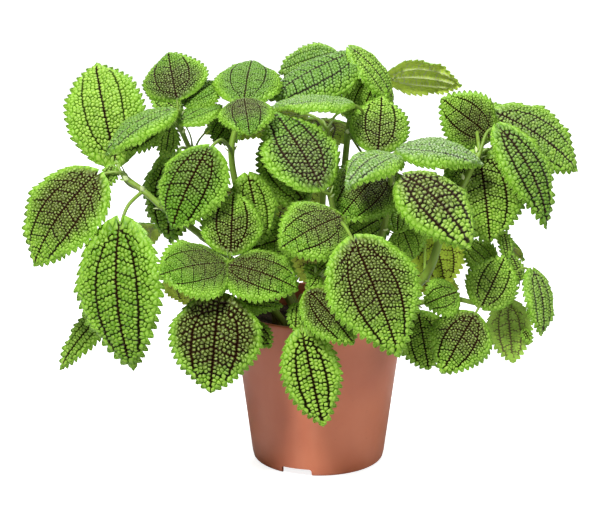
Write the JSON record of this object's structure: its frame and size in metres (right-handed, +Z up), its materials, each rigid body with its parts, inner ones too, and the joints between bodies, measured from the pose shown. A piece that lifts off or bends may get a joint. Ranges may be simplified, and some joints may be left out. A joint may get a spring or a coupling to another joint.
{
  "type": "potted friendship plant",
  "caption": "Bushy friendship plant with opposite, toothed, deeply pebbled leaves, standing in potting mix in a round tapered plastic nursery pot.",
  "frame": {"origin": "middle of the foot plane, under the centre of the whole part's outer box; the pot's own axis stands 10 mm towards +X and 16 mm towards -Y from it", "axes": "+Z up, -Y towards the plant's front, +X to the right as seen from the front, along its widest spread"},
  "size_m": [0.3304, 0.2352, 0.247],
  "materials": {
    "pot_plastic": "satin",
    "potting_mix": "matte",
    "leaf": "matte"
  },
  "bodies": {
    "root": {"pot": "pot_plastic", "soil": "potting_mix", "leafy_stem_left": "leaf", "leafy_stem_top_left": "leaf", "leafy_stem_middle_left": "leaf", "leafy_stem_front_left": "leaf", "leafy_stem_front": "leaf", "leafy_stem_middle": "leaf", "leafy_stem_middle_right": "leaf", "leafy_stem_top": "leaf", "leafy_stem_right": "leaf", "leafy_stem_lower_right": "leaf", "leafy_stem_low_left": "leaf", "leafy_stem_back_left": "leaf", "leafy_stem_back": "leaf", "leafy_stem_back_right": "leaf"}
  },
  "joints": []
}
